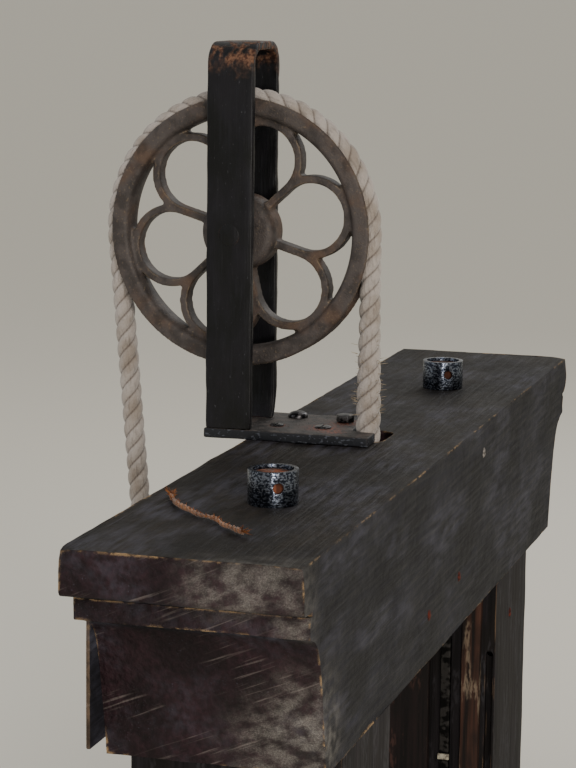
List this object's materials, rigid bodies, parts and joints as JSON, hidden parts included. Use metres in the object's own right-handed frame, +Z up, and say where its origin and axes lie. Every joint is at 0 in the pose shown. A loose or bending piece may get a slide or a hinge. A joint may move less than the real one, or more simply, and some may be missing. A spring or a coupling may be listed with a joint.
{
  "type": "hoist frame head with rope pulley",
  "caption": "Moulded timber crossbeam on two cut posts, carrying a cast-iron rope wheel in a strap yoke with a rope over it",
  "frame": {"origin": "centre of the near post's cut foot", "axes": "+X along the beam from the near post to the far post, +Y towards the side the wheel and the free rope overhang, +Z up"},
  "size_m": [1.074, 0.3475, 0.849],
  "materials": {
    "dark_paint": "worn dark paint over timber",
    "cornice_paint": "worn dark paint over timber",
    "dark_wood": "old dark stain",
    "worn_wood": "rubbed bare",
    "runner_steel": "rubbed bright",
    "pale_cap": "off-white",
    "rusty_peg": "rusty",
    "sleeve_steel": "mottled, part blackened",
    "dowel_wood": "end grain",
    "black_paint": "black paint, rusting at the edges",
    "bolt_steel": "blackened",
    "rusty_iron": "rusty casting",
    "hub_metal": "tarnished",
    "rope_cotton": "laid cotton",
    "twine_fibre": "frayed fibre"
  },
  "bodies": {
    "frame": {"crosshead_beam": "dark_paint", "rear_cornice_moulding": "cornice_paint", "rear_fascia_board": "dark_paint", "post_near": "dark_wood", "guide_batten_near": "worn_wood", "runner_strip_near": "runner_steel", "runner_cap_near": "pale_cap", "guide_board_near": "dark_wood", "post_far": "dark_wood", "guide_batten_far": "worn_wood", "runner_strip_far": "runner_steel", "runner_cap_far": "pale_cap", "guide_board_far": "dark_wood", "beam_peg_low_near": "rusty_peg", "beam_peg_low_middle": "rusty_peg", "beam_peg_high_far": "rusty_peg", "post_peg_far": "rusty_peg", "tenon_sleeve_near": "sleeve_steel", "tenon_dowel_near": "dowel_wood", "tenon_sleeve_far": "sleeve_steel", "tenon_dowel_far": "dowel_wood", "yoke_strap": "black_paint", "yoke_base_plate": "black_paint", "base_screw_front_outer": "bolt_steel", "base_bolt_rear_outer": "bolt_steel", "base_screw_front_inner": "bolt_steel", "base_bolt_rear_inner": "bolt_steel", "axle_pin": "black_paint", "spacer_collar_front": "bolt_steel", "spacer_collar_rear": "bolt_steel", "pulley_rope": "rope_cotton", "rope_knot_fixed": "rope_cotton", "rope_knot_free": "rope_cotton", "old_twine": "twine_fibre"},
    "wheel": {"pulley_wheel": "rusty_iron", "hub_bush": "hub_metal"}
  },
  "joints": [
    {"name": "wheel_spin", "type": "hinge", "parent": "frame", "child": "wheel", "pos_m": [0.318, 0.1233, 0.672], "axis": [1, 0, 0], "continuous": true}
  ]
}
